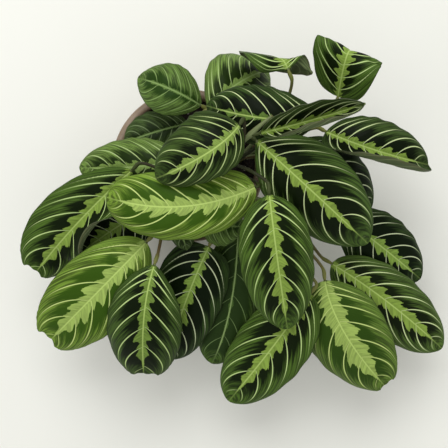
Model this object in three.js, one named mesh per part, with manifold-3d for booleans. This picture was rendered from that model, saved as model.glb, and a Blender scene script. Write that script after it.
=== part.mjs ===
// A prayer plant (maranta) in its pot, as it stands on a table.
// Millimetres, +Z up, the origin at the centre of the pot's flat underside.
// The plant is drawn as it is seen from above: +X is the right of the view and +Y is its top.
import * as THREE from 'three';
import { mergeVertices } from 'three/addons/utils/BufferGeometryUtils.js';
import Module from 'manifold-3d';

const wasm = await Module();
wasm.setup();

// Air between pieces that touch
const SEAT_GAP = 0.3;

// Pot: a tapered wall with a thick rounded lip and a flat floor with drain holes
const POT_HEIGHT = 108;
const POT_FOOT_RADIUS = 44;
const POT_LIP_RADIUS = 61.5;
const POT_LIP_WIDTH = 7.5;
const POT_LIP_HEIGHT = 15;
const POT_WALL = 4;
const POT_FLOOR = 5;
const POT_LIP_EDGE = 1.5;
const POT_LIP_CORNERS = 6;
const POT_EDGE = 2;
const POT_SIDES = 36;
const DRAIN_HOLES = 3;
const DRAIN_RADIUS = 4;
const DRAIN_CIRCLE = 26;
const DRAIN_SIDES = 12;

// Soil: fills the pot to a little below the lip, with small lumps on top
const SOIL_TOP = 94;
const SOIL_LUMP = 1.6;
const SOIL_LUMP_SPREAD = [4.1, 3.7, 6.3];
const SOIL_RINGS = 5;

// Stems and stalks
const STEM_RADIUS = 3.2;
const STEM_DEPTH = 30;
const STEM_SIDES = 8;
const SHEATH_RADIUS = 2.3;
const SHEATH_SHARE = 0.45;
const SHEATH_STEPS = 4;
const CROWN_SHEATH_RADIUS = 2.8;
const STALK_RADIUS = 1.4;
const STALK_SIDES = 6;
const STALK_STEPS = 8;
const STALK_ROOT = 5;
const JOINT_LENGTH = 9;
const NECK_LENGTH = 3;

// Blades
const BLADE_THICKNESS = 0.8;
const BLADE_ROWS = 11;
const BLADE_CELLS = 3;
const BLADE_BROAD = 1.1;
const BLADE_BLUNT = 0.47;

// How a half blade bends from the midrib to its margin, in degrees below the level
const DOMED = [-8, 42];
const STEEP = [12, 70];
const CURLED = [-20, -140];
const CURL_CELLS = 5;
const CURL_ROWS = 16;

// The leafy stems: where each stands in the soil and how far it rises above it
const STEMS = {
  stem_back: { foot: [10, 22], rise: 12 },
  stem_left: { foot: [0, -10], rise: 10 },
  stem_crown: { foot: [26, -6], rise: 26, sheath: [[45, 15, 180], [54, 23, 187], [63, 30, 189]] },
  stem_right: { foot: [42, 6], rise: 20 },
  stem_front_left: { foot: [-14, -28], rise: 14 },
  stem_front: { foot: [14, -36], rise: 12 },
  stem_front_right: { foot: [36, -22], rise: 16 },
};

// The leaves. Each midrib is an arc from its base to its tip, drawn towards its crest.
// left and right: how the halves bend, looking from base to tip. curl: the half that rolls up,
// and from where to where. broad: over 1 is widest nearer the tip. blunt: smaller is rounder.
// heading: the way the blade faces, where its tip hangs back. roll: a turn about the midrib.
// uneven: the share by which the left half is wider, and the right half narrower, than half.
// via and joint: the points that its stalk passes through.
const LEAVES = [
  { name: 'leaf_01_round_back_left', stem: 'stem_back', tone: 'mid',
    base: [11, 45, 136], crest: [-12, 57, 160], tip: [-38, 67, 130], width: 44, via: [[11, 32, 112]] },
  { name: 'leaf_02_back_middle', stem: 'stem_back', tone: 'mid',
    base: [17, 43, 136], crest: [41, 66, 146], tip: [65, 79, 92], width: 62,
    broad: 1.35, right: [2, 42],
    via: [[14, 32, 116]] },
  { name: 'leaf_03_hanging_back', stem: 'stem_right', tone: 'dark', heading: [0.1, 0.99],
    blunt: 0.75, base: [78, 71, 146], crest: [71, 88, 154], tip: [65, 78, 104], width: 62,
    left: [-6, 2], right: [2, 34], via: [[77, 48, 130]] },
  { name: 'leaf_04_bent_back_right', stem: 'stem_right', tone: 'dark', heading: [0.52, 0.85],
    broad: 0.8, blunt: 0.32, base: [119, 54, 120], crest: [122, 107, 184], tip: [137, 75, 88],
    width: 55, left: [-2, 18], right: [-18, 2], via: [[92, 38, 122]] },
  { name: 'leaf_05_dark_back', stem: 'stem_crown', tone: 'dark',
    base: [100, 31, 164], crest: [55, 26, 184], tip: [16, 42, 158], width: 54, left: STEEP,
    via: [[62, 16, 146]] },
  { name: 'leaf_06_half_folded', stem: 'stem_crown', tone: 'dark', broad: 0.85, blunt: 0.95,
    base: [56, 19, 186], crest: [91, 26, 200], tip: [132, 41, 178], width: 42,
    left: [-52, -70], curl: { side: -1, from: -0.4, to: 1.4 }, via: [[36, 2, 160]] },
  { name: 'leaf_07_large_right', stem: 'stem_crown', tone: 'dark', broad: 1.3,
    base: [53, 14, 174], crest: [81, -13, 197], tip: [140, -62, 138], width: 71,
    left: [0, 25], right: [14, 56], via: [[38, 2, 146]] },
  { name: 'leaf_08_front_middle', stem: 'stem_crown', tone: 'dark', blunt: 0.43,
    base: [62, -26, 183], crest: [66, -66, 192], tip: [78, -128, 138], width: 60,
    via: [[34, -2, 152], [50, -9, 178]] },
  { name: 'leaf_09_lemon_left', stem: 'stem_crown', tone: 'lemon', broad: 1, blunt: 0.34,
    base: [52, -20, 170], crest: [-2, -45, 192], tip: [-58, -27, 168], width: 56,
    left: [-8, 52], right: [-8, 30],
    joint: [52, -15, 160], via: [[40, -10, 144]] },
  { name: 'leaf_10_crown', stem: 'stem_crown', tone: 'dark',
    broad: 0.75, blunt: 0.34, uneven: -0.2, base: [40, 24, 192], crest: [26, 2, 220],
    tip: [-20, -14, 186], width: 54, left: [5, 46], right: [0, 40],
    via: [[32, 0, 150], [43, 11, 178]] },
  { name: 'leaf_11_left', stem: 'stem_left', tone: 'mid',
    base: [-4, 4, 131], crest: [-34, -6, 148], tip: [-86, -2, 114], width: 50, via: [[2, 2, 114]] },
  { name: 'leaf_12_far_left', stem: 'stem_left', tone: 'dark', roll: -14, broad: 1.35,
    base: [-42, -6, 143], crest: [-88, -44, 126], tip: [-129, -91, 88], width: 65,
    left: [-4, 58], right: [-4, 28], curl: { side: 1, from: 0.05, to: 0.76 },
    via: [[0, -14, 128], [-11, -9, 142]] },
  { name: 'leaf_13_far_right', stem: 'stem_right', tone: 'dark', blunt: 0.42,
    base: [109, 25, 130], crest: [138, 9, 153], tip: [190, 0, 120], width: 55,
    curl: { side: -1, from: -0.3, to: 1.6 }, via: [[78, 20, 130]] },
  { name: 'leaf_14_lemon_front_left', stem: 'stem_front_left', tone: 'lemon', broad: 1.2, blunt: 0.43,
    base: [-31, -61, 139], crest: [-66, -98, 154], tip: [-117, -146, 92], width: 65,
    right: [-8, 8], via: [[-20, -46, 124]] },
  { name: 'leaf_15_front_left', stem: 'stem_front_left', tone: 'dark', broad: 1.55, blunt: 0.4,
    base: [-24, -78, 150], crest: [-35, -114, 165], tip: [-36, -174, 97], width: 64,
    via: [[-18, -50, 136]] },
  { name: 'leaf_16_inner_back_left', stem: 'stem_back', tone: 'mid',
    base: [0, 33, 114], crest: [-26, 27, 119], tip: [-50, 18, 112], width: 38, via: [] },
  { name: 'leaf_17_dark_front', stem: 'stem_front', tone: 'night', blunt: 0.32, heading: [-0.4, -0.92],
    broad: 0.9, base: [17, -65, 132], crest: [-2, -105, 130], tip: [-18, -158, 84], width: 60,
    right: [-8, 24], via: [[16, -50, 120]] },
  { name: 'leaf_18_dull_front', stem: 'stem_front', tone: 'dull',
    broad: 0.85, blunt: 0.36, base: [40, -56, 120], crest: [38, -122, 112], tip: [19, -163, 78],
    width: 52, via: [[26, -46, 110]] },
  { name: 'leaf_19_low_front', stem: 'stem_front_right', tone: 'dark', broad: 1.2, blunt: 0.42,
    base: [97, -102, 124], crest: [72, -139, 132], tip: [33, -194, 80], width: 62,
    left: [-8, 34], via: [[60, -36, 120], [76, -68, 126]] },
  { name: 'leaf_20_lemon_front_right', stem: 'stem_front_right', tone: 'lemon', blunt: 0.44,
    base: [109, -92, 118], crest: [114, -131, 126], tip: [165, -184, 80], width: 70,
    left: [-8, 24], right: [-4, 56],
    via: [[60, -32, 120], [84, -56, 126]] },
  { name: 'leaf_21_far_right_low', stem: 'stem_front_right', tone: 'dark',
    base: [116, -79, 105], crest: [162, -107, 108], tip: [213, -152, 66], width: 58,
    via: [[60, -30, 118], [86, -48, 118]] },
  { name: 'leaf_22_dark_right', stem: 'stem_front_right', tone: 'night',
    base: [126, -42, 98], crest: [155, -63, 103], tip: [194, -93, 70], width: 58,
    via: [[60, -28, 115], [86, -34, 112]] },
  { name: 'leaf_23_under_right', stem: 'stem_right', tone: 'night',
    base: [78, 10, 138], crest: [115, -6, 142], tip: [148, -34, 102], width: 56, left: [0, 34],
    via: [[60, 8, 124]] },
  { name: 'leaf_24_under_left', stem: 'stem_front_left', tone: 'night',
    base: [-29, -33, 116], crest: [-58, -50, 126], tip: [-87, -70, 98], width: 60, right: [-8, 20],
    via: [] },
  { name: 'leaf_25_under_centre', stem: 'stem_front', tone: 'mid',
    blunt: 0.4, base: [12, -39, 142], crest: [28, -50, 151], tip: [44, -49, 135], width: 38,
    via: [[12, -36, 122]] },
  { name: 'leaf_26_small_pointed', stem: 'stem_front_left', tone: 'dark',
    base: [-6, -28, 142], crest: [-6, -48, 150], tip: [0, -67, 132], width: 25,
    via: [[-11, -22, 126]] },
];

// Finishes
const FINISH = {
  pot: new THREE.MeshStandardMaterial({ color: 0x96806f, roughness: 0.6, metalness: 0 }),
  soil: new THREE.MeshStandardMaterial({ color: 0x2b211a, roughness: 0.95, metalness: 0 }),
  stem: new THREE.MeshStandardMaterial({ color: 0x7d8a55, roughness: 0.55, metalness: 0 }),
  dark: new THREE.MeshStandardMaterial({ color: 0x3d5c2c, roughness: 0.45, metalness: 0 }),
  mid: new THREE.MeshStandardMaterial({ color: 0x5a823c, roughness: 0.45, metalness: 0 }),
  lemon: new THREE.MeshStandardMaterial({ color: 0x8fb045, roughness: 0.45, metalness: 0 }),
  night: new THREE.MeshStandardMaterial({ color: 0x24361f, roughness: 0.45, metalness: 0 }),
  dull: new THREE.MeshStandardMaterial({ color: 0x3a5533, roughness: 0.5, metalness: 0 }),
};

const group = new THREE.Group();
const UP = new THREE.Vector3(0, 0, 1);
const vector = (list) => new THREE.Vector3(...list);

// Gives a closed geometry as a solid, with its faces turned outwards
function solidFrom(geometry) {
  const bare = geometry.clone();
  bare.deleteAttribute('normal');
  bare.deleteAttribute('uv');
  const merged = mergeVertices(bare, 1e-4);
  const triVerts = new Uint32Array(merged.index.array);
  const vertProperties = new Float32Array(merged.attributes.position.array);
  const solid = new wasm.Manifold(new wasm.Mesh({ numProp: 3, vertProperties, triVerts }));
  if (solid.volume() > 0) return solid;
  const turned = triVerts.reverse();
  return new wasm.Manifold(new wasm.Mesh({ numProp: 3, vertProperties, triVerts: turned }));
}

// Gives a solid back as a geometry
function geometryFrom(solid) {
  const mesh = solid.getMesh();
  const geometry = new THREE.BufferGeometry();
  geometry.setAttribute('position', new THREE.BufferAttribute(mesh.vertProperties, 3));
  geometry.setIndex(new THREE.BufferAttribute(mesh.triVerts, 1));
  geometry.computeVertexNormals();
  return geometry;
}

// Adds a solid to the plant as one named piece
function place(name, solid, finish) {
  const mesh = new THREE.Mesh(geometryFrom(solid), FINISH[finish]);
  mesh.name = name;
  group.add(mesh);
}

// Turns a profile of radius and height round the upright axis
function turned(profile, sides) {
  const points = profile.map(([radius, height]) => new THREE.Vector2(radius, height));
  return new THREE.LatheGeometry(points, sides).rotateX(Math.PI / 2);
}

// An upright round pin or hole
function pin(x, y, bottom, top, radius, sides) {
  const shape = new THREE.CylinderGeometry(radius, radius, top - bottom, sides).rotateX(Math.PI / 2);
  return solidFrom(shape.translate(x, y, (bottom + top) / 2));
}

// A round tube along a curve
function tube(curve, radius, sides, steps) {
  const section = new THREE.Shape();
  section.absarc(0, 0, radius, 0, 2 * Math.PI);
  return solidFrom(new THREE.ExtrudeGeometry(section, {
    steps, curveSegments: sides / 2, bevelEnabled: false, extrudePath: curve,
  }));
}

// Radius of the pot's inner wall at a height below the lip
function potBore(height) {
  const share = height / (POT_HEIGHT - POT_LIP_HEIGHT);
  const top = POT_LIP_RADIUS - POT_LIP_WIDTH;
  const bottom = POT_FOOT_RADIUS - POT_WALL;
  return bottom + (top - bottom) * Math.min(share, 1);
}

function makePot() {
  const lipBottom = POT_HEIGHT - POT_LIP_HEIGHT;
  const round = POT_LIP_WIDTH / 2;
  const profile = [[0, 0], [POT_FOOT_RADIUS - POT_EDGE, 0], [POT_FOOT_RADIUS, POT_EDGE]];
  profile.push([potBore(lipBottom) + POT_WALL, lipBottom]);
  profile.push([POT_LIP_RADIUS - POT_LIP_EDGE, lipBottom], [POT_LIP_RADIUS, lipBottom + POT_LIP_EDGE]);
  for (let i = 0; i <= POT_LIP_CORNERS; i++) {
    const turn = (Math.PI * i) / POT_LIP_CORNERS;
    profile.push([POT_LIP_RADIUS - round + round * Math.cos(turn),
      POT_HEIGHT - round + round * Math.sin(turn)]);
  }
  profile.push([potBore(lipBottom), lipBottom], [potBore(POT_FLOOR), POT_FLOOR], [0, POT_FLOOR]);
  let pot = solidFrom(turned(profile, POT_SIDES));
  for (let i = 0; i < DRAIN_HOLES; i++) {
    const turn = (2 * Math.PI * (i + 0.5)) / DRAIN_HOLES;
    const [x, y] = [DRAIN_CIRCLE * Math.cos(turn), DRAIN_CIRCLE * Math.sin(turn)];
    pot = pot.subtract(pin(x, y, -POT_FLOOR, 2 * POT_FLOOR, DRAIN_RADIUS, DRAIN_SIDES));
  }
  place('pot', pot, 'pot');
}

// Height of the lumps on the soil at a point
function soilLump(x, y) {
  const [a, b, c] = SOIL_LUMP_SPREAD;
  return SOIL_LUMP * (Math.sin(x / a) * Math.cos(y / b) + 0.6 * Math.sin((x + 2 * y) / c));
}

function makeSoil() {
  const edge = potBore(SOIL_TOP) - SEAT_GAP;
  const bottom = POT_FLOOR + SEAT_GAP;
  const profile = [[0, bottom], [potBore(bottom) - SEAT_GAP, bottom]];
  for (let i = 0; i <= SOIL_RINGS; i++) {
    profile.push([edge * (1 - i / SOIL_RINGS), SOIL_TOP]);
  }
  const shape = turned(profile, POT_SIDES);
  const at = shape.attributes.position;
  for (let i = 0; i < at.count; i++) {
    const [x, y, z] = [at.getX(i), at.getY(i), at.getZ(i)];
    if (z > SOIL_TOP - 1 && Math.hypot(x, y) < edge - 1) at.setZ(i, z + soilLump(x, y));
  }
  let soil = solidFrom(shape);
  const hole = STEM_RADIUS + SEAT_GAP / Math.cos(Math.PI / STEM_SIDES);
  for (const { foot } of Object.values(STEMS)) {
    const depth = SOIL_TOP - STEM_DEPTH - SEAT_GAP;
    soil = soil.subtract(pin(...foot, depth, SOIL_TOP + STEM_DEPTH, hole, STEM_SIDES));
  }
  place('soil', soil, 'soil');
}

// The midrib's point, its direction, and the level and upright directions across it
function midribAt(leaf, along) {
  const [base, crest, tip] = [leaf.base, leaf.crest, leaf.tip].map(vector);
  const point = new THREE.QuadraticBezierCurve3(base, crest, tip).getPoint(along);
  const toCrest = crest.clone().sub(base).multiplyScalar(1 - along);
  const ahead = tip.clone().sub(crest).multiplyScalar(along).add(toCrest).normalize();
  const plan = leaf.heading ? vector([...leaf.heading, 0]) : tip.clone().sub(base).setZ(0);
  const side = new THREE.Vector3().crossVectors(UP, plan).normalize();
  side.addScaledVector(ahead, -side.dot(ahead)).normalize();
  const lift = new THREE.Vector3().crossVectors(ahead, side);
  const roll = THREE.MathUtils.degToRad(leaf.roll ?? 0);
  side.applyAxisAngle(ahead, roll);
  lift.applyAxisAngle(ahead, roll);
  return { point, ahead, side, lift };
}

// How one half bends at a place along the leaf. A curled half rolls up over itself in its middle.
function bendAt(leaf, along, side) {
  const rest = (side > 0 ? leaf.left : leaf.right) ?? DOMED;
  if (!leaf.curl || leaf.curl.side !== side) return rest;
  const share = (along - leaf.curl.from) / (leaf.curl.to - leaf.curl.from);
  const amount = Math.sin(Math.PI * Math.min(Math.max(share, 0), 1));
  return rest.map((angle, i) => angle + (CURLED[i] - angle) * amount);
}

// A point of the blade's middle surface: along from 0 at the base to 1 at the tip,
// across from -1 at the right margin to 1 at the left margin
function bladePoint(leaf, along, across) {
  const { point, side, lift } = midribAt(leaf, along);
  const share = along ** (leaf.broad ?? BLADE_BROAD);
  const half = (leaf.width / 2) * (1 + Math.sign(across) * (leaf.uneven ?? 0));
  const halfWidth = half * (4 * share * (1 - share)) ** (leaf.blunt ?? BLADE_BLUNT);
  const [start, end] = bendAt(leaf, along, Math.sign(across)).map(THREE.MathUtils.degToRad);
  const reach = Math.abs(across);
  const turn = end - start;
  const out = (Math.sin(start + turn * reach) - Math.sin(start)) / turn;
  const down = (Math.cos(start) - Math.cos(start + turn * reach)) / turn;
  point.addScaledVector(side, Math.sign(across) * out * halfWidth);
  return point.addScaledVector(lift, -down * halfWidth);
}

// The direction straight out of the blade's upper face
function bladeNormal(leaf, along, across) {
  const near = 0.01;
  const u = Math.min(Math.max(along, 2 * near), 1 - 2 * near);
  const v = Math.min(Math.max(across, -1 + near), 1 - near);
  const forward = bladePoint(leaf, u + near, v).sub(bladePoint(leaf, u - near, v));
  const sideways = bladePoint(leaf, u, v + near).sub(bladePoint(leaf, u, v - near));
  return forward.cross(sideways).normalize();
}

// One blade: a thin closed shell, split into triangles alike on both faces
function makeLeaf(leaf) {
  const half = leaf.curl ? CURL_CELLS : BLADE_CELLS;
  const length = leaf.curl ? CURL_ROWS : BLADE_ROWS;
  const faces = [1, -1].map((face) => {
    const at = (along, across) => bladePoint(leaf, along, across)
      .addScaledVector(bladeNormal(leaf, along, across), (face * BLADE_THICKNESS) / 2);
    const rows = [];
    for (let i = 1; i < length; i++) {
      const along = (1 - Math.cos((Math.PI * i) / length)) / 2;
      const row = [];
      for (let j = -half; j <= half; j++) row.push(at(along, j / half));
      rows.push(row);
    }
    return { rows, base: at(0, 0), tip: at(1, 0) };
  });
  const [top, bottom] = faces;
  const corners = [];
  const add = (...points) => points.forEach((point) => corners.push(...point.toArray()));
  const skin = (a, b, c) => {
    add(a(top), b(top), c(top));
    add(a(bottom), c(bottom), b(bottom));
  };
  const last = length - 2;
  const cells = 2 * half;
  for (let j = 0; j < cells; j++) {
    skin((f) => f.base, (f) => f.rows[0][j], (f) => f.rows[0][j + 1]);
    skin((f) => f.tip, (f) => f.rows[last][j + 1], (f) => f.rows[last][j]);
    for (let i = 0; i < last; i++) {
      skin((f) => f.rows[i][j], (f) => f.rows[i + 1][j], (f) => f.rows[i + 1][j + 1]);
      skin((f) => f.rows[i][j], (f) => f.rows[i + 1][j + 1], (f) => f.rows[i][j + 1]);
    }
  }
  const loop = [(f) => f.base];
  for (let i = 0; i <= last; i++) loop.push((f) => f.rows[i][0]);
  loop.push((f) => f.tip);
  for (let i = last; i >= 0; i--) loop.push((f) => f.rows[i][cells]);
  loop.forEach((here, i) => {
    const next = loop[(i + 1) % loop.length];
    add(here(top), here(bottom), next(bottom));
    add(here(top), next(bottom), next(top));
  });
  const geometry = new THREE.BufferGeometry();
  geometry.setAttribute('position', new THREE.Float32BufferAttribute(corners, 3));
  place(leaf.name, solidFrom(geometry), leaf.tone);
}

// One leafy stem: the stem in its hole, and a stalk with its sheath up to each blade
function makeStem(name, { foot, rise, sheath }) {
  const head = vector([...foot, SOIL_TOP + rise]);
  let stem = pin(...foot, SOIL_TOP - STEM_DEPTH, SOIL_TOP + rise, STEM_RADIUS, STEM_SIDES);
  for (const leaf of LEAVES.filter((one) => one.stem === name)) {
    const { point, ahead } = midribAt(leaf, 0);
    const end = point.clone().addScaledVector(ahead, -SEAT_GAP);
    const joint = leaf.joint ? vector(leaf.joint) : point.clone().addScaledVector(ahead, -JOINT_LENGTH);
    const neck = point.clone().addScaledVector(ahead, -NECK_LENGTH);
    const root = head.clone().setZ(head.z - STALK_ROOT);
    const route = new THREE.CatmullRomCurve3([root, ...leaf.via.map(vector), joint, neck, end]);
    stem = stem.add(tube(route, STALK_RADIUS, STALK_SIDES, STALK_STEPS));
    const lower = new THREE.CatmullRomCurve3(
      [0, 1 / 3, 2 / 3, 1].map((share) => route.getPointAt(share * SHEATH_SHARE)));
    stem = stem.add(tube(lower, SHEATH_RADIUS, STALK_SIDES, SHEATH_STEPS));
  }
  if (sheath) {
    const strap = new THREE.CatmullRomCurve3(sheath.map(vector));
    stem = stem.add(tube(strap, CROWN_SHEATH_RADIUS, STALK_SIDES, SHEATH_STEPS));
  }
  place(name, stem, 'stem');
}

makePot();
makeSoil();
Object.entries(STEMS).forEach(([name, stem]) => makeStem(name, stem));
LEAVES.forEach(makeLeaf);

export default group;
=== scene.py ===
# %% [markdown]
# # A prayer plant in its pot
#
# The imported model comes in first and stays where it is. Every finer piece below is made in the
# same place, in metres, and takes over from one solid of that model.

# %% Load the imported model
import math
import bpy
import numpy as np
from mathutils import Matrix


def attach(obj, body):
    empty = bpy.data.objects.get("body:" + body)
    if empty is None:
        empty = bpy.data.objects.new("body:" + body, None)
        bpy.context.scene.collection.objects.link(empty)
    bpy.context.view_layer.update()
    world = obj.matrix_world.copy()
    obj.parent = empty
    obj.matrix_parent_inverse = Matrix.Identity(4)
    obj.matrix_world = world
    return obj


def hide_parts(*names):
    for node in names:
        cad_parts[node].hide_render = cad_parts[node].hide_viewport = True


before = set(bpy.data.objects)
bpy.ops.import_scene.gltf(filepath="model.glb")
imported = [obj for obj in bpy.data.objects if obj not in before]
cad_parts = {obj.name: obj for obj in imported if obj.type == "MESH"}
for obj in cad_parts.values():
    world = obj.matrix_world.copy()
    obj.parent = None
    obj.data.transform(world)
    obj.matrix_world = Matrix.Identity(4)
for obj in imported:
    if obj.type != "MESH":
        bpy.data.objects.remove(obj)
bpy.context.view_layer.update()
MM = 0.001
print("solids in the packed model:", len(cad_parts))

# %% [markdown]
# ## Small helpers for working by operator
#
# A Blender operator works on whatever is selected, so each new piece starts from an empty
# selection. These helpers do that, apply a modifier, and close and turn out a skin.

# %% Helpers for selecting, finishing and closing a piece
def start_clean():
    if bpy.context.mode != "OBJECT":
        bpy.ops.object.mode_set(mode="OBJECT")
    bpy.ops.object.select_all(action="DESELECT")


def pick(*pieces):
    start_clean()
    for piece in pieces:
        piece.select_set(True)
    bpy.context.view_layer.objects.active = pieces[0]


def edit_all(piece):
    pick(piece)
    bpy.ops.object.mode_set(mode="EDIT")
    bpy.ops.mesh.select_all(action="SELECT")


def named(name):
    piece = bpy.context.object
    piece.name = piece.data.name = name
    return piece


def apply_modifier(piece, kind, **settings):
    pick(piece)
    modifier = piece.modifiers.new(kind.title(), kind)
    for key, value in settings.items():
        setattr(modifier, key, value)
    bpy.ops.object.modifier_apply(modifier=modifier.name)


def close_skin(piece, reach=0.00002, outwards=True):
    """Merges points closer than reach and, on a closed skin, turns the faces outwards."""
    edit_all(piece)
    bpy.ops.mesh.remove_doubles(threshold=reach)
    if outwards:
        bpy.ops.mesh.normals_make_consistent(inside=False)
    bpy.ops.object.mode_set(mode="OBJECT")


def smooth(piece, degrees):
    pick(piece)
    bpy.ops.object.shade_smooth_by_angle(angle=math.radians(degrees))


def read_points(piece):
    points = np.empty(len(piece.data.vertices) * 3)
    piece.data.vertices.foreach_get("co", points)
    return points.reshape(-1, 3)


def write_points(piece, points):
    piece.data.vertices.foreach_set("co", np.asarray(points, float).ravel())
    piece.data.update()


def hand_in(piece, slot, *nodes):
    """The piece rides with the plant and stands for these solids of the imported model."""
    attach(piece, "root")
    if nodes:
        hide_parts(*nodes)
    print(piece.name, "faces:", len(piece.data.polygons))


# %% [markdown]
# ## The view, the floor and the light
#
# The plant is seen from straight above. A camera with no turn at all looks straight down with
# +Y at the top of its picture, so only its place and its angle of view are set. The floor is a
# plain pale sheet. One wide soft lamp shines from behind the plant, as from a window, a weaker one
# stands for the light of the room, and a pale sky fills the shade between the leaves.

# %% Camera
VIEW_POINT = (0.029, -0.047, 0.900)
# half of the width that the picture shows, for each metre of distance
VIEW_HALF_WIDTH = 0.22698
bpy.ops.object.camera_add(location=VIEW_POINT, rotation=(0, 0, 0))
camera = named("camera_above")
camera.data.sensor_fit = "AUTO"
camera.data.angle = 2 * math.atan(VIEW_HALF_WIDTH)
bpy.context.scene.camera = camera
print("angle of view in degrees:", round(math.degrees(camera.data.angle), 2))

# %% Floor
FLOOR_SIZE = 6
start_clean()
bpy.ops.mesh.primitive_plane_add(size=FLOOR_SIZE, location=(0, 0, 0))
floor = named("floor")
print("width of the floor in metres:", floor.dimensions.x)

# %% Lamps and sky
PLANT_MIDDLE = (0.03, -0.04, 0.12)


def lamp(name, place, size, power):
    """A square lamp that is turned to the middle of the plant."""
    bpy.ops.object.light_add(type="AREA", location=place)
    light = named(name)
    light.data.energy = power
    light.data.size = size
    aim = np.array(PLANT_MIDDLE) - np.array(place)
    flat = math.hypot(aim[0], aim[1])
    light.rotation_euler = (math.atan2(flat, -aim[2]), 0, math.atan2(-aim[0], aim[1]))
    print(name, "distance in metres:", round(float(np.linalg.norm(aim)), 2))


lamp("window_light", (-0.15, 0.95, 1.6), 1.1, 18.5)
lamp("room_light", (-0.5, -0.3, 1.8), 1.8, 6)
sky = bpy.data.worlds.new("pale_room")
sky.use_nodes = True
pale = sky.node_tree.nodes["Background"]
pale.inputs["Color"].default_value = (1.0, 0.99, 0.97, 1)
pale.inputs["Strength"].default_value = 0.6
bpy.context.scene.world = sky
bpy.context.scene.view_settings.view_transform = "Standard"

# %% [markdown]
# ## How the finishes are written
#
# Every finish is a small net of nodes. A number in the net is kept as a value that can be added,
# multiplied or divided like any other, and each such step lays one node. Short helpers name the
# other steps that come back all the time, such as a soft step between two values and a mix of two
# colours. Colours are written as they look on a screen, from 0 to 255, and turned into the linear
# values that Blender works in.

# %% Colours and numbers for the node finishes
def colour(red, green, blue):
    def linear(value):
        share = value / 255
        return share / 12.92 if share <= 0.04045 else ((share + 0.055) / 1.055) ** 2.4
    return (linear(red), linear(green), linear(blue), 1.0)


class Value:
    """A number in the net of a finish."""

    def __init__(self, finish, socket):
        self.finish = finish
        self.socket = socket

    def __add__(self, other):
        return self.finish.maths("ADD", self, other)

    def __sub__(self, other):
        return self.finish.maths("SUBTRACT", self, other)

    def __rsub__(self, other):
        return self.finish.maths("SUBTRACT", other, self)

    def __mul__(self, other):
        return self.finish.maths("MULTIPLY", self, other)

    def __truediv__(self, other):
        return self.finish.maths("DIVIDE", self, other)

    def __abs__(self):
        return self.finish.maths("ABSOLUTE", self)


print("mid grey in linear light:", round(colour(128, 128, 128)[0], 3))

# %% A finish and its steps
class Finish:
    """A node finish under construction, with its main shader and its output in place."""

    def __init__(self, name, roughness):
        self.material = bpy.data.materials.new(name)
        self.material.use_nodes = True
        self.tree = self.material.node_tree
        self.shader = self.tree.nodes["Principled BSDF"]
        self.shader.inputs["Roughness"].default_value = roughness

    def put(self, socket, value):
        if isinstance(value, Value):
            value = value.socket
        if isinstance(value, bpy.types.NodeSocket):
            self.tree.links.new(value, socket)
        else:
            socket.default_value = value

    def node(self, kind, sockets=(), values=(), **settings):
        """Lays one node, fills these sockets of it, and gives what comes out of it."""
        made = self.tree.nodes.new(kind)
        for key, value in settings.items():
            setattr(made, key, value)
        for socket, value in zip(sockets, values):
            self.put(made.inputs[socket], value)
        return made.outputs

    def maths(self, what, first, second=0.0):
        return Value(self, self.node("ShaderNodeMath", (0, 1), (first, second), operation=what)[0])

    def ramp(self, value, low, high, start=0.0, end=1.0):
        """A soft step: start up to low, end from high on."""
        sockets = ("Value", "From Min", "From Max", "To Min", "To Max")
        values = (value, low, high, start, end)
        made = self.node("ShaderNodeMapRange", sockets, values, interpolation_type="SMOOTHSTEP")
        return Value(self, made["Result"])

    def mix(self, share, first, second):
        """A blend of two colours, each from the net or written as on a screen."""
        tones = [colour(*tone) if isinstance(tone, tuple) else tone for tone in (first, second)]
        return self.node("ShaderNodeMix", (0, 6, 7), (share, *tones), data_type="RGBA")[2]

    def noise(self, place, scale, detail=3.0, roughness=0.5):
        sockets = ("Vector", "Scale", "Detail", "Roughness")
        values = (place, scale, detail, roughness)
        return Value(self, self.node("ShaderNodeTexNoise", sockets, values)["Fac"])

    def chance(self, place):
        """The same number from 0 to 1 all over a cell."""
        return Value(self, self.node("ShaderNodeTexWhiteNoise", (0,), (place,))["Value"])

    def here(self):
        return self.node("ShaderNodeTexCoord")["Object"]

    def attribute(self, name, form="Vector"):
        return self.node("ShaderNodeAttribute", attribute_name=name)[form]

    def parts(self, vector):
        return [Value(self, part) for part in self.node("ShaderNodeSeparateXYZ", (0,), (vector,))]

    def joined(self, *parts):
        return self.node("ShaderNodeCombineXYZ", (0, 1, 2), parts)[0]

    def bump(self, height, strength, distance):
        sockets = ("Strength", "Distance", "Height")
        made = self.node("ShaderNodeBump", sockets, (strength, distance, height))
        self.put(self.shader.inputs["Normal"], made["Normal"])

    def set(self, **sockets):
        for socket, value in sockets.items():
            self.put(self.shader.inputs[socket.replace("_", " ")], value)
        print("finish:", self.material.name, "nodes:", len(self.tree.nodes))
        return self.material


# %% [markdown]
# ## Floor finish
#
# The floor only has to be pale and quiet, so that the shade of the low leaves shows on it. A faint
# cloud of tone keeps it from looking like cut-out paper. Two tones in a cloud also suit bark, perlite,
# the cut edge of a leaf and the hairs, so that finish is a function.

# %% Floor finish
def clouded(name, roughness, scale, dark, light, detail=3.0, grain=0.5, bump=()):
    """A finish of two tones in a cloud, which may also raise and sink the skin."""
    made = Finish(name, roughness)
    cloud = made.noise(made.here(), scale, detail, grain)
    if bump:
        made.bump(cloud, *bump)
    return made.set(Base_Color=made.mix(cloud, dark, light))


def dress(piece, *finishes):
    piece.data.materials.clear()
    for finish in finishes:
        piece.data.materials.append(finish)


dress(floor, clouded("pale_floor", 0.7, 3.0, (230, 231, 224), (239, 240, 233)))

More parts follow.
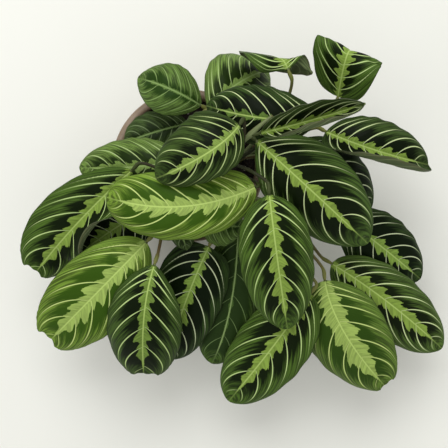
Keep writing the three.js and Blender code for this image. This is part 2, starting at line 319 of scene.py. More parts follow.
# %% [markdown]
# ## The pot
#
# A thrown or moulded pot is a profile turned round its axis. It could be spun from a drawn line;
# here it grows from its round foot: the disc is extruded and resized ring by ring up the outer
# wall, over the rounded lip and down the inner wall, and its last face is the inside floor. The
# three drain holes are then cut through the floor.

# %% Sizes of the pot
POT_HEIGHT = 0.108
POT_FOOT = 0.044
POT_LIP = 0.0615
POT_LIP_WIDTH = 0.0075
POT_LIP_FOOT = 0.093
POT_WALL = 0.004
POT_FLOOR = 0.005
FOOT_FLAT = 0.006
FOOT_ROUND = 0.002
LIP_FOOT_ROUND = 0.0015
FLOOR_ROUND = 0.004
DRAIN_HOLES = 3
DRAIN_RADIUS = 0.004
DRAIN_CIRCLE = 0.026
POT_ROUND = 128


def pot_bore(height):
    """Radius of the inner wall at a height."""
    bottom, top = POT_FOOT - POT_WALL, POT_LIP - POT_LIP_WIDTH
    return bottom + (top - bottom) * min(height / POT_LIP_FOOT, 1)


def arc(radius, height, size, start, end, steps):
    """Points of an arc in the profile, in degrees from level and outwards."""
    turns = np.radians(np.linspace(start, end, steps))
    return [(radius + size * math.cos(t), height + size * math.sin(t)) for t in turns]


WALL_START = 0.012
LIP_FACE_START = 0.006
lip_round = POT_LIP_WIDTH / 2
floor_start = POT_FLOOR + FLOOR_ROUND
pot_profile = [(POT_FOOT - FOOT_FLAT, 0.0)]
pot_profile += arc(POT_FOOT - FOOT_ROUND, FOOT_ROUND, FOOT_ROUND, -90, -5, 6)
pot_profile += [(pot_bore(h) + POT_WALL, h) for h in np.linspace(WALL_START, POT_LIP_FOOT - MM, 9)]
pot_profile += arc(POT_LIP - LIP_FOOT_ROUND, POT_LIP_FOOT + LIP_FOOT_ROUND, LIP_FOOT_ROUND, -90, 0, 5)
pot_profile += [(POT_LIP, POT_LIP_FOOT + LIP_FACE_START)]
pot_profile += arc(POT_LIP - lip_round, POT_HEIGHT - lip_round, lip_round, 0, 180, 15)
pot_profile += [(pot_bore(h), h) for h in np.linspace(POT_LIP_FOOT, WALL_START, 8)]
pot_profile += arc(pot_bore(floor_start) - FLOOR_ROUND, floor_start, FLOOR_ROUND, 0, -90, 5)
print("rings of the pot:", len(pot_profile))

# %% Turn the pot up from its foot
def disc(name, radius, height, corners):
    """A round face, lying level, with all of it selected for editing."""
    start_clean()
    bpy.ops.mesh.primitive_circle_add(vertices=corners, radius=radius, fill_type="NGON",
                                      location=(0, 0, height))
    piece = named(name)
    bpy.ops.object.transform_apply()
    edit_all(piece)
    return piece


radius, height = pot_profile[0]
pot = disc("pot_turned", radius, height, POT_ROUND)
for next_radius, next_height in pot_profile[1:]:
    bpy.ops.mesh.extrude_region_move(
        TRANSFORM_OT_translate={"value": (0, 0, next_height - height)})
    grow = next_radius / radius
    bpy.ops.transform.resize(value=(grow, grow, 1), center_override=(0, 0, next_height))
    radius, height = next_radius, next_height
bpy.ops.object.mode_set(mode="OBJECT")
close_skin(pot)
print("faces of the pot without its holes:", len(pot.data.polygons))

# %% Drill the three drain holes
DRAIN_ROUND = 24
for i in range(DRAIN_HOLES):
    turn = 2 * math.pi * (i + 0.5) / DRAIN_HOLES
    start_clean()
    bpy.ops.mesh.primitive_cylinder_add(
        vertices=DRAIN_ROUND, radius=DRAIN_RADIUS, depth=6 * POT_FLOOR,
        location=(DRAIN_CIRCLE * math.cos(turn), DRAIN_CIRCLE * math.sin(turn), 0))
    drill = named("drill")
    apply_modifier(pot, "BOOLEAN", operation="DIFFERENCE", object=drill, solver="EXACT")
    bpy.data.objects.remove(drill)
smooth(pot, 35)
hand_in(pot, "pot", "pot")

# %% [markdown]
# ## Pot finish
#
# The pot is a matt taupe plastic with a fine speckle and a few scuffs. A little dust and water
# scale lies on its lip.

# %% Pot finish
SCALE_DEPTH = 0.0045
made = Finish("pot_taupe", 0.55)
place = made.here()
height = made.parts(place)[2]
cloud = made.noise(place, 28.0, 4.0)
speck = made.ramp(made.noise(place, 900.0, 2.0), 0.62, 0.7)
scuff = made.ramp(made.noise(place, 120.0, 5.0, 0.7), 0.56, 0.72)
body = made.mix(cloud, (114, 95, 74), (136, 115, 89))
body = made.mix(speck * 0.45, body, (84, 68, 58))
body = made.mix(scuff * 0.15, body, (166, 148, 134))
scale = made.ramp(height, POT_HEIGHT - SCALE_DEPTH, POT_HEIGHT) * made.ramp(cloud, 0.4, 0.62)
body = made.mix(scale * 0.28, body, (176, 162, 150))
made.bump(speck * 0.3 + scuff, 0.25, 0.0003)
dress(pot, made.set(Base_Color=body, Roughness=made.ramp(scuff, 0.0, 1.0, 0.5, 0.68)))

# %% [markdown]
# ## The soil
#
# Potting soil is a lumpy bed with crumbs, scraps of bark and white grains of perlite on it. The
# bed is one disc. Its rim is extruded down nearly to the pot's floor, and its top is inset ring by
# ring, so that it can be raised and dimpled. A small stone is made once for each of the three kinds
# and strewn over the bed, each copy with its own size and turn, so it stays at a few faces.

# %% The bed of soil
SOIL_TOP = 0.094
SOIL_FOOT = 0.006
SOIL_GAP = 0.0003
SOIL_RINGS = 26
# where each stem stands in the soil, and how far it rises out of it, in millimetres
STEM_FEET = {
    "stem_back": (10, 22, 12), "stem_left": (0, -10, 10), "stem_crown": (26, -6, 26),
    "stem_right": (42, 6, 20), "stem_front_left": (-14, -28, 14), "stem_front": (14, -36, 12),
    "stem_front_right": (36, -22, 16),
}
soil_edge = pot_bore(SOIL_TOP) - SOIL_GAP


def soil_lump(x, y):
    """Height of the bed's lumps, in metres, at a place in metres."""
    x, y = x / MM, y / MM
    broad = np.sin(x / 4.1) * np.cos(y / 3.7) + 0.6 * np.sin((x + 2 * y) / 6.3)
    fine = np.sin(x * 1.9 + 2 * np.sin(y / 1.7)) * np.cos(y * 1.6 + 2 * np.sin(x / 2.3))
    return (1.4 * broad + 0.35 * fine) * MM


soil = disc("soil_bed", soil_edge, SOIL_TOP, POT_ROUND)
for _ in range(SOIL_RINGS):
    bpy.ops.mesh.inset(thickness=soil_edge / (SOIL_RINGS + 1), depth=0)
bpy.ops.mesh.poke()
bpy.ops.mesh.select_all(action="SELECT")
bpy.ops.mesh.region_to_loop()
bpy.ops.mesh.extrude_edges_move(TRANSFORM_OT_translate={"value": (0, 0, SOIL_FOOT - SOIL_TOP)})
shrink = (pot_bore(SOIL_FOOT) - SOIL_GAP) / soil_edge
bpy.ops.transform.resize(value=(shrink, shrink, 1), center_override=(0, 0, SOIL_FOOT))
bpy.ops.mesh.edge_face_add()
bpy.ops.object.mode_set(mode="OBJECT")
close_skin(soil)
points = read_points(soil)
spread = np.hypot(points[:, 0], points[:, 1])
top = (points[:, 2] > SOIL_TOP - MM) & (spread < soil_edge - MM)
points[top, 2] += soil_lump(points[top, 0], points[top, 1])
write_points(soil, points)
smooth(soil, 60)
hand_in(soil, "soil", "soil")

# %% Crumbs, bark and perlite, each from one stone
def copy_of(piece, name):
    twin = piece.copy()
    twin.data = piece.data.copy()
    twin.name = twin.data.name = name
    bpy.context.collection.objects.link(twin)
    return twin


def join_as(name, pieces):
    pick(*pieces)
    bpy.ops.object.join()
    return named(name)


def strewn(name, count, sizes, flat, seed, splits):
    """Copies of one small stone on the bed of soil, joined into one piece."""
    start_clean()
    bpy.ops.mesh.primitive_ico_sphere_add(subdivisions=splits, radius=1)
    stone = named("stone")
    shape = read_points(stone)
    draw = np.random.default_rng(seed)
    copies = []
    for i in range(count):
        turn, out = draw.uniform(0, 2 * math.pi), math.sqrt(draw.uniform(0, 1)) * (soil_edge - 2 * MM)
        x, y = out * math.cos(turn), out * math.sin(turn)
        size = draw.uniform(*sizes) * MM
        stretch = size * np.array([1, draw.uniform(0.55, 1), flat * draw.uniform(0.7, 1.2)])
        rough = 1 + 0.22 * draw.standard_normal((len(shape), 1))
        tilt, spin = draw.uniform(-0.5, 0.5), draw.uniform(0, 2 * math.pi)
        lean = np.array([[1, 0, 0], [0, math.cos(tilt), -math.sin(tilt)],
                         [0, math.sin(tilt), math.cos(tilt)]])
        face = np.array([[math.cos(spin), -math.sin(spin), 0],
                         [math.sin(spin), math.cos(spin), 0], [0, 0, 1]])
        ground = SOIL_TOP + float(soil_lump(x, y)) + 0.25 * size
        twin = copy_of(stone, f"{name}_{i}")
        write_points(twin, shape * rough * stretch @ lean.T @ face.T + [x, y, ground])
        copies.append(twin)
    bpy.data.objects.remove(stone)
    piece = join_as(name, copies)
    smooth(piece, 40)
    hand_in(piece, "soil")
    return piece


crumbs = strewn("soil_crumbs", 620, (0.5, 1.7), 0.8, 4, 1)
bark = strewn("soil_bark", 60, (1.6, 3.6), 0.35, 8, 1)
perlite = strewn("soil_perlite", 45, (0.5, 1.3), 0.85, 15, 2)

# %% [markdown]
# ## Soil finishes
#
# Damp soil is nearly black-brown, and paler on its drier grains. Bark is redder, and perlite is a
# dull white.

# %% Soil finishes
made = Finish("soil_damp", 0.95)
place = made.here()
grain = made.noise(place, 900.0, 6.0, 0.7)
earth = made.mix(made.ramp(grain, 0.35, 0.7), (16, 12, 9), (52, 39, 29))
earth = made.mix(made.noise(place, 70.0, 3.0) * 0.4, earth, (34, 26, 20))
made.bump(grain, 0.9, 0.0006)
soil_finish = made.set(Base_Color=earth)
dress(soil, soil_finish)
dress(crumbs, soil_finish)
dress(bark, clouded("bark_scrap", 0.85, 420.0, (40, 26, 18), (84, 58, 40), 5.0, 0.7, (0.7, 0.0004)))
dress(perlite, clouded("perlite_grain", 0.9, 1500.0, (120, 114, 104), (186, 180, 168),
                       bump=(0.6, 0.0002)))

# %% [markdown]
# ## The leaves as a table
#
# A blade of this plant is an oval whose midrib rises from the stalk and droops to the tip. Its
# two halves dome down to the margin, and on three leaves one half rolls up and over. One row of
# the table holds all that makes a leaf its own: its stem and kind, where its midrib starts, crests
# and ends, and how wide it is. Lengths are in millimetres, as they were worked out.
#
# The words at the end of a row are for what differs from the other leaves. `broad` and `blunt`
# shape the outline, and `uneven` makes one half wider. `left` and `right` are the angles at which a
# half leaves the midrib and reaches the margin, and `curl` rolls one half up over a stretch of the
# blade. `heading` and `roll` turn the blade, `wave` and `ragged` are for its margin and its torn
# tip, and `look` and `veins` for its pattern. `via` and `joint` lead its stalk.

# %% The table of leaves
DOMED, STEEP, CURLED = (-8, 42), (12, 70), (-20, -140)
LEAF_ROWS = [
    ("leaf_01_round_back_left", "stem_back", "mid", (11, 45, 136), (-12, 57, 160), (-38, 67, 130), 44,
     dict(look="plain", veins=0.8, wave=0.3, via=[(11, 32, 112)])),
    ("leaf_02_back_middle", "stem_back", "mid", (17, 43, 136), (41, 66, 146), (65, 79, 92), 62,
     dict(broad=1.35, right=(2, 42), wave=0.4, via=[(14, 32, 116)])),
    ("leaf_03_hanging_back", "stem_right", "dark", (78, 71, 146), (71, 88, 154), (65, 78, 104), 62,
     dict(heading=(0.1, 0.99), blunt=0.75, left=(-6, 2), right=(2, 34), via=[(77, 48, 130)])),
    ("leaf_04_bent_back_right", "stem_right", "dark", (119, 54, 120), (122, 107, 184), (137, 75, 88), 55,
     dict(heading=(0.52, 0.85), broad=0.8, blunt=0.32, left=(-2, 18), right=(-18, 2),
          via=[(92, 38, 122)])),
    ("leaf_05_dark_back", "stem_crown", "dark", (100, 31, 164), (55, 26, 184), (16, 42, 158), 54,
     dict(look="shaded_lime", left=STEEP, via=[(62, 16, 146)])),
    ("leaf_06_half_folded", "stem_crown", "dark", (56, 19, 186), (91, 26, 200), (132, 41, 178), 42,
     dict(look="narrow_lime", broad=0.85, blunt=0.95, left=(-52, -70), curl=(-1, -0.4, 1.4),
          via=[(36, 2, 160)])),
    ("leaf_07_large_right", "stem_crown", "dark", (53, 14, 174), (81, -13, 197), (140, -62, 138), 71,
     dict(look="white_veined", broad=1.3, veins=1.0, left=(0, 25), right=(14, 56),
          via=[(38, 2, 146)])),
    ("leaf_08_front_middle", "stem_crown", "dark", (62, -26, 183), (66, -66, 192), (78, -128, 138), 60,
     dict(blunt=0.43, veins=0.85, via=[(34, -2, 152), (50, -9, 178)])),
    ("leaf_09_lemon_left", "stem_crown", "lemon", (52, -20, 170), (-2, -45, 192), (-58, -27, 168), 56,
     dict(look="narrow_lemon", left=(-8, 52), right=(-8, 30), broad=1, blunt=0.34,
          joint=(52, -15, 160), via=[(40, -10, 144)])),
    ("leaf_10_crown", "stem_crown", "dark", (40, 24, 192), (26, 2, 220), (-20, -14, 186), 54,
     dict(look="crown", veins=0.85, broad=0.75, blunt=0.34, uneven=-0.2, left=(5, 46), right=(0, 40),
          via=[(32, 0, 150), (43, 11, 178)])),
    ("leaf_11_left", "stem_left", "mid", (-4, 4, 131), (-34, -6, 148), (-86, -2, 114), 50,
     dict(via=[(2, 2, 114)])),
    ("leaf_12_far_left", "stem_left", "dark", (-42, -6, 143), (-88, -44, 126), (-129, -91, 88), 65,
     dict(ragged=1, roll=-14, broad=1.35, left=(-4, 58), right=(-4, 28), curl=(1, 0.05, 0.76),
          via=[(0, -14, 128), (-11, -9, 142)])),
    ("leaf_13_far_right", "stem_right", "dark", (109, 25, 130), (138, 9, 153), (190, 0, 120), 55,
     dict(look="narrow_lime", blunt=0.42, curl=(-1, -0.3, 1.6), via=[(78, 20, 130)])),
    ("leaf_14_lemon_front_left", "stem_front_left", "lemon", (-31, -61, 139), (-66, -98, 154),
     (-117, -146, 92), 65,
     dict(ragged=1, broad=1.2, blunt=0.43, right=(-8, 8), via=[(-20, -46, 124)])),
    ("leaf_15_front_left", "stem_front_left", "dark", (-24, -78, 150), (-35, -114, 165),
     (-36, -174, 97), 64, dict(look="deep", ragged=1, broad=1.55, blunt=0.4, via=[(-18, -50, 136)])),
    ("leaf_16_inner_back_left", "stem_back", "mid", (0, 33, 114), (-26, 27, 119), (-50, 18, 112), 38,
     dict(look="plain_shaded", via=[])),
    ("leaf_17_dark_front", "stem_front", "night", (17, -65, 132), (-2, -105, 130), (-18, -158, 84), 60,
     dict(broad=0.9, blunt=0.32, heading=(-0.4, -0.92), right=(-8, 24), via=[(16, -50, 120)])),
    ("leaf_18_dull_front", "stem_front", "dull", (40, -56, 120), (38, -122, 112), (19, -163, 78), 52,
     dict(broad=0.85, blunt=0.36, via=[(26, -46, 110)])),
    ("leaf_19_low_front", "stem_front_right", "dark", (97, -102, 124), (72, -139, 132), (33, -194, 80), 62,
     dict(broad=1.2, blunt=0.42, left=(-8, 34), via=[(60, -36, 120), (76, -68, 126)])),
    ("leaf_20_lemon_front_right", "stem_front_right", "lemon", (109, -92, 118), (114, -131, 126),
     (165, -184, 80), 70,
     dict(look="broad_lemon", ragged=0.6, blunt=0.44, left=(-8, 24), right=(-4, 56),
          via=[(60, -32, 120), (84, -56, 126)])),
    ("leaf_21_far_right_low", "stem_front_right", "dark", (116, -79, 105), (162, -107, 108),
     (213, -152, 66), 58, dict(look="broad_lime", veins=1.05, via=[(60, -30, 118), (86, -48, 118)])),
    ("leaf_22_dark_right", "stem_front_right", "night", (126, -42, 98), (155, -63, 103), (194, -93, 70), 58,
     dict(via=[(60, -28, 115), (86, -34, 112)])),
    ("leaf_23_under_right", "stem_right", "night", (78, 10, 138), (115, -6, 142), (148, -34, 102), 56,
     dict(left=(0, 34), via=[(60, 8, 124)])),
    ("leaf_24_under_left", "stem_front_left", "night", (-29, -33, 116), (-58, -50, 126), (-87, -70, 98), 60,
     dict(right=(-8, 20), via=[])),
    ("leaf_25_under_centre", "stem_front", "mid", (12, -39, 142), (28, -50, 151), (44, -49, 135), 38,
     dict(look="plain", blunt=0.4, via=[(12, -36, 122)])),
    ("leaf_26_small_pointed", "stem_front_left", "dark", (-6, -28, 142), (-6, -48, 150), (0, -67, 132), 25,
     dict(look="plain_shaded", via=[(-11, -22, 126)])),
]
LEAVES = [dict(name=name, stem=stem, tone=tone, base=base, crest=crest, tip=tip, width=width, **more)
          for name, stem, tone, base, crest, tip, width, more in LEAF_ROWS]
print("leaves:", len(LEAVES))

# %% [markdown]
# ## From a flat grid to a bent blade
#
# A blade could be sculpted by hand 26 times, but all of them follow one rule, so the rule is
# written once. Each point of the blade has a place along the midrib, from 0 to 1, and a place
# across, from -1 at the right margin to 1 at the left one. The rule turns those two numbers into
# a point in the room.

# %% The rule of the blade
NORMAL_STEP = 0.01


def unit(vectors):
    return vectors / np.linalg.norm(vectors, axis=-1, keepdims=True)


def midrib_at(leaf, along):
    """Points of the midrib, its direction, and the directions to the side and out of the blade."""
    base, crest, tip = (np.array(leaf[part], float) for part in ("base", "crest", "tip"))
    t = np.asarray(along, float)[:, None]
    place = base * (1 - t) ** 2 + 2 * crest * t * (1 - t) + tip * t ** 2
    ahead = unit((crest - base) * (1 - t) + (tip - crest) * t)
    plan = np.array([*leaf.get("heading", (tip - base)[:2]), 0.0])
    level = unit(np.cross([0, 0, 1], plan))
    side = unit(level - ahead * (ahead @ level)[:, None])
    lift = np.cross(ahead, side)
    roll = math.radians(leaf.get("roll", 0))
    turned = side * math.cos(roll) + lift * math.sin(roll)
    return place, ahead, turned, lift * math.cos(roll) - side * math.sin(roll)


def half_width(leaf, along, across):
    share = along ** leaf.get("broad", 1.1)
    half = leaf["width"] / 2 * (1 + np.sign(across) * leaf.get("uneven", 0))
    return half * np.clip(4 * share * (1 - share), 0, 1) ** leaf.get("blunt", 0.47)


def bend_at(leaf, along, across):
    """The angles in radians at which a half leaves the midrib and reaches the margin."""
    left, right = leaf.get("left", DOMED), leaf.get("right", DOMED)
    angles = np.where(across[:, None] > 0, left, right).astype(float)
    if "curl" in leaf:
        side, start, end = leaf["curl"]
        share = np.clip((along - start) / (end - start), 0, 1)
        amount = np.sin(np.pi * share) * (np.sign(across) == side)
        angles += (np.array(CURLED) - angles) * amount[:, None]
    return np.radians(angles)


def blade_point(leaf, along, across):
    place, _, side, lift = midrib_at(leaf, along)
    width = half_width(leaf, along, across)
    start, end = bend_at(leaf, along, across).T
    reach, turn = np.abs(across), end - start
    out = np.sign(across) * width * (np.sin(start + turn * reach) - np.sin(start)) / turn
    down = width * (np.cos(start) - np.cos(start + turn * reach)) / turn
    return place + side * out[:, None] - lift * down[:, None]


def slopes(rule, leaf, along, across, near):
    """How much the rule's result changes over a short way along the blade, and over one across."""
    u = np.clip(along, 2 * near, 1 - 2 * near)
    v = np.clip(across, -1 + near, 1 - near)
    ahead = rule(leaf, u + near, v) - rule(leaf, u - near, v)
    aside = rule(leaf, u, v + near) - rule(leaf, u, v - near)
    return ahead, aside


def blade_normal(leaf, along, across):
    return unit(np.cross(*slopes(blade_point, leaf, along, across, NORMAL_STEP)))


print("widest blade in mm:", max(leaf["width"] for leaf in LEAVES))

# %% [markdown]
# ## Where the veins run
#
# A side vein leaves the midrib at a wide angle, bends forward, and then runs beside the margin.
# Each vein has a place on the midrib where it starts, and a rule for how far out it has come by
# each place further on. The rule is turned round here: for a point of the blade, a search finds the
# start of the vein that would pass through it. That start is counted in veins, so whole numbers
# are on a vein. Relief and colour both use this count, so the furrows and the pale lines fall
# together.

# %% Vein numbers
START_PLACES = [-0.25, 0, 0.04, 0.12, 0.22, 0.36, 0.51, 0.66, 0.80, 0.92, 1]
START_NUMBERS = [-2.5, 0, 1, 2, 3, 4, 5, 6, 7, 7.7, 8.1]
SPREAD_PLACES = [-0.25, 0.06, 0.16, 0.3, 0.47, 0.66, 0.85, 1]
SPREADS = [1.6, 1.34, 1.42, 1.32, 1.17, 0.92, 0.72, 0.5]
SWEEPS = [0.25, 0.34, 0.42, 0.52, 0.6, 0.62, 0.64, 0.66]
STRAIGHT_START = 0.02
LEFT_AHEAD = 0.12
HALVINGS = 26
CROWDING_STEP = 0.006


def vein_count(leaf, along, across):
    """The number of the vein through each point, alike on both halves."""
    reach = np.abs(across)
    low = np.full(along.shape, START_PLACES[0])
    high = np.clip(along, START_PLACES[0], 0.9999)
    for _ in range(HALVINGS):
        start = (low + high) / 2
        run = np.clip((along - start) / (1 - start), 0, 1)
        sweep = np.interp(start, SPREAD_PLACES, SWEEPS)
        gone = np.interp(start, SPREAD_PLACES, SPREADS) * run ** sweep
        gone *= 1 - np.exp(-(run / STRAIGHT_START) ** (1 - sweep))
        too_far = gone > reach
        low, high = np.where(too_far, start, low), np.where(too_far, high, start)
    return np.interp(start, START_PLACES, START_NUMBERS) * leaf.get("veins", 0.92)


def vein_crowding(leaf, along, across):
    """How many veins there are to a millimetre at each point, measured on the bent blade."""
    ahead, aside = slopes(blade_point, leaf, along, across, CROWDING_STEP)
    count_ahead, count_aside = slopes(vein_count, leaf, along, across, CROWDING_STEP)
    e, f, g = ((a * b).sum(axis=1) for a, b in ((ahead, ahead), (ahead, aside), (aside, aside)))
    square = g * count_ahead ** 2 - 2 * f * count_ahead * count_aside + e * count_aside ** 2
    return np.sqrt(np.clip(square / (e * g - f ** 2), 1e-4, None))


print("veins of a half, before each leaf's own share:", START_NUMBERS[-1])

# %% [markdown]
# ## Leaf finishes
#
# The upper face has four colours. A lime band follows the midrib, and after each side vein it
# runs out in a ragged lobe that is cut back sharply before the next one. Beyond the lobe lies a
# near-black blotch that ends in streaks, then the olive green of the margin with fine lines in it.
# Pale side veins cross all of it. They could be painted by hand on each leaf, but the same net of
# nodes can draw them all from the vein numbers, and a table of colours and widths makes each kind
# of leaf.
#
# In that table `band` is the width of the lime band between lobes, `lobe` about how much a lobe adds
# to it and `saw` how much a tooth can add, in millimetres. `teeth` is about the number of teeth to a
# vein. `fade` is how far out the blotch reaches at least, as a share of the half, and `clear` is the
# share of the midrib that it leaves free at the stalk. A row names the kind that it starts from, and
# what it changes.

# %% Colours of the kinds of leaf
TONES = {"dark": dict(lime=(126, 152, 66), rib=(170, 194, 108), vein=(188, 212, 138), blotch=(6, 16, 2),
                      margin=(66, 90, 34), lobe=4.2, band=2.5, vein_width=0.5, fade=0.22, teeth=3.6,
                      saw=1.6, clear=0.0)}
# Some rows are darker copies of another kind, for leaves that lie low or under others: their darker colours
# are painted shade.
TONE_ROWS = [
    ("mid", "dark", dict(lime=(120, 146, 74), rib=(150, 176, 106), vein=(170, 192, 128),
                         blotch=(20, 36, 6), margin=(94, 118, 56), lobe=2.8, band=1.8,
                         vein_width=0.44, fade=0.2, saw=1.2)),
    ("lemon", "dark", dict(lime=(148, 172, 88), rib=(180, 204, 114), vein=(196, 214, 130),
                           blotch=(46, 76, 10), margin=(98, 124, 46), lobe=5.2, band=3.8, fade=0.3,
                           teeth=3.0, saw=2.2, clear=0.16)),
    # For leaves that lie under others: a copy of dark whose darker margin and wider blotch are painted
    # shade.
    ("night", "dark", dict(lime=(122, 150, 66), rib=(164, 188, 106), vein=(196, 208, 166),
                           blotch=(6, 17, 3), margin=(42, 60, 26), lobe=4.0, band=2.2,
                           vein_width=0.48, fade=0.4, saw=1.5)),
    ("dull", "dark", dict(lime=(70, 96, 44), rib=(138, 160, 102), vein=(108, 132, 80),
                          blotch=(34, 52, 20), margin=(60, 82, 34), lobe=1.0, band=0.6,
                          vein_width=0.36, fade=0.36, saw=0.5)),
    ("deep", "dark", dict(lime=(108, 134, 58), margin=(54, 74, 30), lobe=3.4, band=2.2)),
    ("white_veined", "dark", dict(vein=(204, 220, 160), blotch=(5, 13, 2), margin=(62, 84, 36),
                                  lobe=3.4, band=2.1, fade=0.3)),
    ("narrow_lime", "white_veined", dict(margin=(52, 70, 32), lobe=3.2, band=1.7, fade=0.26)),
    ("crown", "white_veined", dict(lime=(120, 144, 68), vein=(180, 198, 132), margin=(52, 70, 30),
                                   lobe=4.0, band=1.8, fade=0.16, vein_width=0.46)),
    # A dimmer copy of white_veined for a leaf at the back: its dimmer lime and margin are painted shade.
    ("shaded_lime", "white_veined", dict(lime=(92, 118, 52), margin=(44, 62, 26), lobe=2.4, band=0.9,
                                         vein_width=0.44)),
    ("broad_lime", "white_veined", dict(margin=(70, 92, 40), lobe=3.2, band=3.6, fade=0.18)),
    ("plain", "mid", dict(lime=(92, 118, 58), rib=(128, 154, 92), vein=(126, 152, 90),
                          blotch=(32, 56, 14), margin=(82, 106, 50), lobe=0.9, band=0.5, fade=0.0,
                          vein_width=0.4)),
    # A dimmer copy of plain for the low inner leaves: its dimmer colours are painted shade.
    ("plain_shaded", "plain", dict(lime=(74, 96, 50), margin=(60, 78, 40), blotch=(30, 44, 18),
                                   vein=(112, 130, 90))),
    ("narrow_lemon", "lemon", dict(lobe=4.2, band=3.2, margin=(100, 126, 46))),
    ("broad_lemon", "lemon", dict(lobe=3.8, band=6.0, margin=(84, 108, 44), blotch=(40, 66, 14),
                                  clear=0.1)),
]
for name, parent, changes in TONE_ROWS:
    TONES[name] = dict(TONES[parent], **changes)
print("kinds of leaf:", len(TONES))


def dimmed(tone, share):
    return tuple(part * share for part in tone)


# %% Build the finish of the upper face
LINES_A_VEIN, STREAKS_A_VEIN = 8.5, 5.0
LOBE_LEAST, LOBE_MORE = 0.65, 0.7


def blade_values(made):
    """What the points of a blade tell a finish. Distances come out in millimetres."""
    along, across, number = made.parts(made.attribute("blade"))
    away, shown, crowding = made.parts(made.attribute("veins"))
    slip = made.maths("FRACT", number)
    near_vein = made.maths("MINIMUM", slip, 1.0 - slip) / crowding
    return along, across, number, away, shown, slip, near_vein


def leaf_finish(name, look):
    made = Finish("leaf_top_" + name, 0.45)
    along, across, number, away, shown, slip, near_vein = blade_values(made)
    reach = abs(across)
    side = made.maths("GREATER_THAN", across, 0.0)
    cell = made.maths("FLOOR", number)
    spot = made.here()

    # fine lines and broader streaks that run with the veins, and a soft cloud
    lines = made.noise(made.joined(number * LINES_A_VEIN, reach * 2.0, side), 1.0, 3.0, 0.65)
    streak = made.noise(made.joined(number * STREAKS_A_VEIN, reach * 1.8, side + 7.0), 1.0, 3.0, 0.6)
    cloud = made.noise(spot, 70.0, 2.0)

    # the lime band: a lobe after each vein, with saw teeth that are cut square to the midrib
    lobe_size = made.chance(made.joined(cell, side, 3.0)) * LOBE_MORE + LOBE_LEAST
    lobe = made.ramp(slip, 0.02, 0.32) * made.ramp(slip, 0.36, 0.72, 1.0, 0.05)
    spike = made.ramp(slip, 0.7, 0.97) * 0.5
    lobe = (lobe + spike) * look["lobe"] * lobe_size
    tooth = number * look["teeth"] + along * 9.0
    tooth_size = made.chance(made.joined(made.maths("FLOOR", tooth), side, 5.0)) * look["saw"]
    saw = made.maths("FRACT", tooth) * tooth_size
    ripple = (made.noise(spot, 620.0, 3.0, 0.6) - 0.5) * 2.0
    size = made.ramp(along, 0.0, 0.3, 0.55, 1.0) * made.ramp(along, 0.72, 0.95, 1.0, 0.0)
    edge = (lobe + saw + ripple + look["band"]) * size
    lime_share = made.ramp(edge - away, -0.15, 0.3)

    # the blotch reaches further out between two veins than beside them, and leaves the tip free
    between = (0.5 - abs(slip - 0.5)) * 0.34
    limit = between + made.chance(made.joined(cell, side, 9.0)) * 0.24 + look["fade"]
    fade = reach + (streak - 0.5) * 0.7 + (lines - 0.5) * 0.3
    green_share = made.ramp(fade - limit, -0.05, 0.22)
    place = along + (streak - 0.5) * 0.2
    green_share = made.maths("MAXIMUM", green_share, made.ramp(place, 0.84, 0.95))
    clear = made.ramp(place, look["clear"], look["clear"] + 0.08, 1.0, 0.0)
    green_share = made.maths("MAXIMUM", green_share, clear)
    blotch = made.mix(streak * 0.08, look["blotch"], look["margin"])
    margin = made.mix(made.ramp(lines, 0.38, 0.62), dimmed(look["margin"], 0.66),
                      dimmed(look["margin"], 1.2))
    skin = made.mix(green_share, blotch, margin)
    lime = made.mix(made.ramp(lines, 0.34, 0.66), dimmed(look["lime"], 0.88), dimmed(look["lime"], 1.08))
    skin = made.mix(lime_share, skin, lime)

    # pale side veins: thickest half-way out, fading at the margin, quieter on the lime
    wide = made.ramp(reach, 0.0, 0.4, 0.5, 1.0) * made.ramp(reach, 0.5, 1.0, 1.0, 0.4)
    wide = wide * look["vein_width"]
    vein = made.ramp(near_vein, wide * 0.5, wide * 1.2, 1.0, 0.0) * shown
    vein = vein * made.ramp(reach, 0.62, 0.98, 1.0, 0.1) * (1.0 - lime_share * 0.3)
    skin = made.mix(vein, skin, look["vein"])

    # the midrib, a thin dark edge and the cloud
    middle = made.ramp(away, 0.3, 0.75, 0.9, 0.0) * made.ramp(along, 0.8, 0.95, 1.0, 0.2)
    skin = made.mix(middle, skin, look["rib"])
    skin = made.mix(made.ramp(reach, 0.975, 0.995) * 0.6, skin, dimmed(look["margin"], 0.5))
    skin = made.mix(cloud * 0.06, skin, dimmed(look["margin"], 0.85))

    made.bump(vein * -0.8 + lines * 0.7, 0.55, 0.00025)
    gloss = made.ramp(lines, 0.25, 0.75, 0.4, 0.54)
    return made.set(Base_Color=skin, Roughness=gloss, Specular_IOR_Level=0.06)


tops = {name: leaf_finish(name, look) for name, look in TONES.items()}

# %% [markdown]
# ## Underside and edge
#
# The underside is a dull grey-green with raised paler ribs, and brownish at its margin. It shows
# where a half is rolled over. The cut edge is thin and dark.

# %% Finishes of the underside and the edge
made = Finish("leaf_underside", 0.6)
_, across, number, away, shown, _, near_vein = blade_values(made)
reach = abs(across)
lines = made.noise(made.joined(number * 13.0, reach * 2.0, 4.0), 1.0, 2.0)
cloud = made.noise(made.here(), 160.0, 4.0)
skin = made.mix(cloud, (62, 75, 46), (84, 98, 62))
skin = made.mix(lines * 0.4, skin, (102, 116, 76))
skin = made.mix(made.ramp(near_vein, 0.3, 0.7, 0.6, 0.0) * shown, skin, (122, 136, 92))
skin = made.mix(made.ramp(away, 0.5, 1.1, 0.8, 0.0), skin, (134, 146, 98))
brown = made.ramp(reach + (cloud - 0.5) * 0.1, 0.86, 1.0)
skin = made.mix(brown * 0.35, skin, (84, 68, 50))
made.bump(cloud + lines, 0.4, 0.0002)
underside = made.set(Base_Color=skin, Specular_IOR_Level=0.15)
edge_finish = clouded("leaf_edge", 0.5, 220.0, (40, 54, 28), (74, 80, 44))

